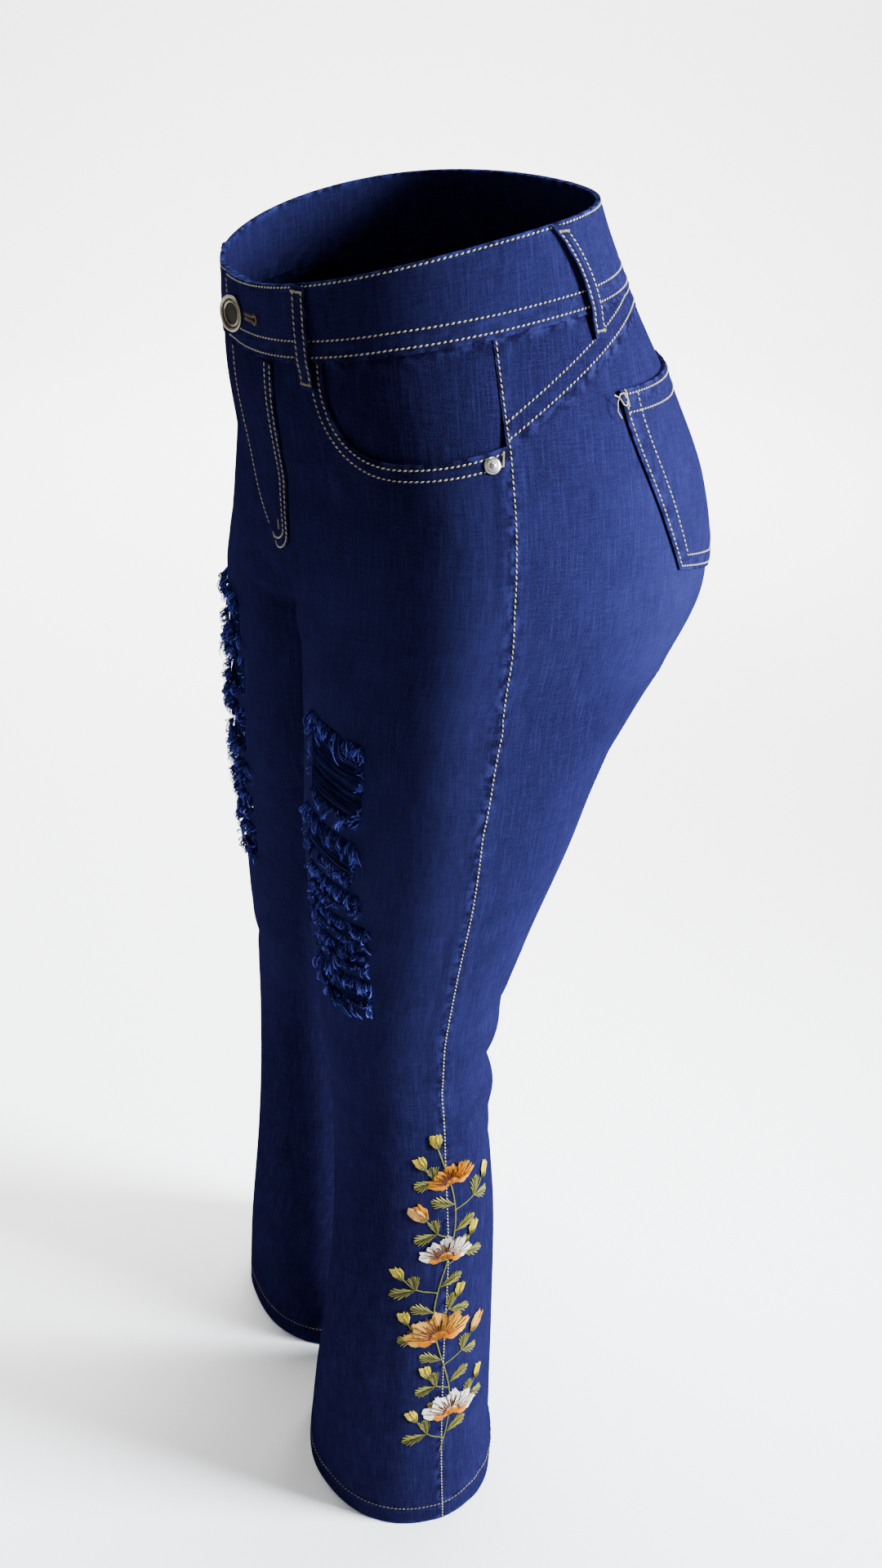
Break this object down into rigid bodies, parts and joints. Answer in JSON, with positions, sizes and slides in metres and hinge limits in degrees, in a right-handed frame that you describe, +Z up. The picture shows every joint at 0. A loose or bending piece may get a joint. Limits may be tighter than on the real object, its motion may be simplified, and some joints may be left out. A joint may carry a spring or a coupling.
{
  "type": "bootcut jeans",
  "caption": "High-rise bootcut jeans in stretch denim in worn shape, ripped and frayed at the thighs, with waistband, belt loops, yoke, scoop and patch pockets, waist and hems open.",
  "frame": {"origin": "middle of the waist, on the garment's middle plane, level with the top of the waistband at the side seams", "axes": "+Z up along the body; the wearer faces -Y; the wearer's left is +X"},
  "size_m": [0.3992, 0.3233, 1.0574],
  "materials": {
    "indigo_denim": "matt twill weave, indigo warp",
    "indigo_denim_double": "matt twill weave, indigo warp, several layers sewn together",
    "torn_denim_thread": "loose matt thread, paler than the cloth",
    "antique_brass": "darkened, with bright worn rims",
    "nickel": "satin"
  },
  "bodies": {
    "root": {"waistband": "indigo_denim_double", "back_pocket_left": "indigo_denim_double", "back_pocket_right": "indigo_denim_double", "loop_back": "indigo_denim_double", "loop_front_left": "indigo_denim_double", "loop_front_right": "indigo_denim_double", "loop_side_left": "indigo_denim_double", "loop_side_right": "indigo_denim_double", "fly": "indigo_denim", "front_left": "indigo_denim", "front_right": "indigo_denim", "back_left": "indigo_denim", "back_right": "indigo_denim", "yoke_left": "indigo_denim", "yoke_right": "indigo_denim", "pocket_facing_left": "indigo_denim", "pocket_facing_right": "indigo_denim", "fray_left": "torn_denim_thread", "fray_right": "torn_denim_thread", "button": "antique_brass", "rivet_left": "nickel", "rivet_right": "nickel"}
  },
  "joints": []
}
